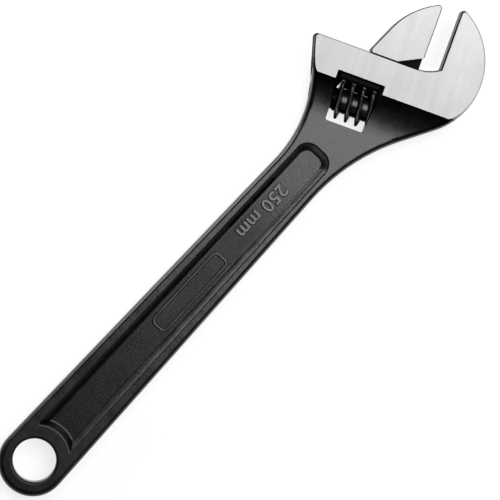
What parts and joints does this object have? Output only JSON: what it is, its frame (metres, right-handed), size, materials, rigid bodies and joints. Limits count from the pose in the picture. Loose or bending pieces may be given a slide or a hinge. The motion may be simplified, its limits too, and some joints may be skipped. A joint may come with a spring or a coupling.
{
  "type": "adjustable wrench",
  "caption": "Adjustable open-end wrench: sunk-panel handle with a hanging hole, angled head, jaw driven along a slot by a knurled worm.",
  "frame": {"origin": "centre of the hanging hole, half way through the handle's thickness", "axes": "+X runs along the handle to the head, +Y points to the movable jaw's side, +Z is the front face of the head and the axis of the hanging hole"},
  "size_m": [0.2546, 0.063, 0.015],
  "materials": {
    "forged_steel": "black phosphated forging, head faces ground to satin steel",
    "ground_steel": "satin ground faces, blackened edges and bar",
    "knurl_steel": "black oxide, serrated crests",
    "pin_steel": "turned, black oxide",
    "spring_steel": "drawn wire"
  },
  "bodies": {
    "wrench": {"wrench_body": "forged_steel", "knurl_pin": "pin_steel", "knurl_spring": "spring_steel"},
    "jaw": {"movable_jaw": "ground_steel"},
    "knurl": {"adjusting_knurl": "knurl_steel"}
  },
  "joints": [
    {"name": "jaw_slide", "type": "slide", "parent": "wrench", "child": "jaw", "axis": [-0.3875, 0.9219, 0], "range_m": [-0.0076, 0.0224]},
    {"name": "knurl_spin", "type": "hinge", "parent": "wrench", "child": "knurl", "pos_m": [0.18394, 0.00307, 0], "axis": [0.3875, -0.9219, 0], "range_deg": [-644.07, 1897.71]}
  ],
  "couplings": [
    {"joint": "knurl_spin", "follows": "jaw_slide", "rad_per_m": 1478.4}
  ]
}
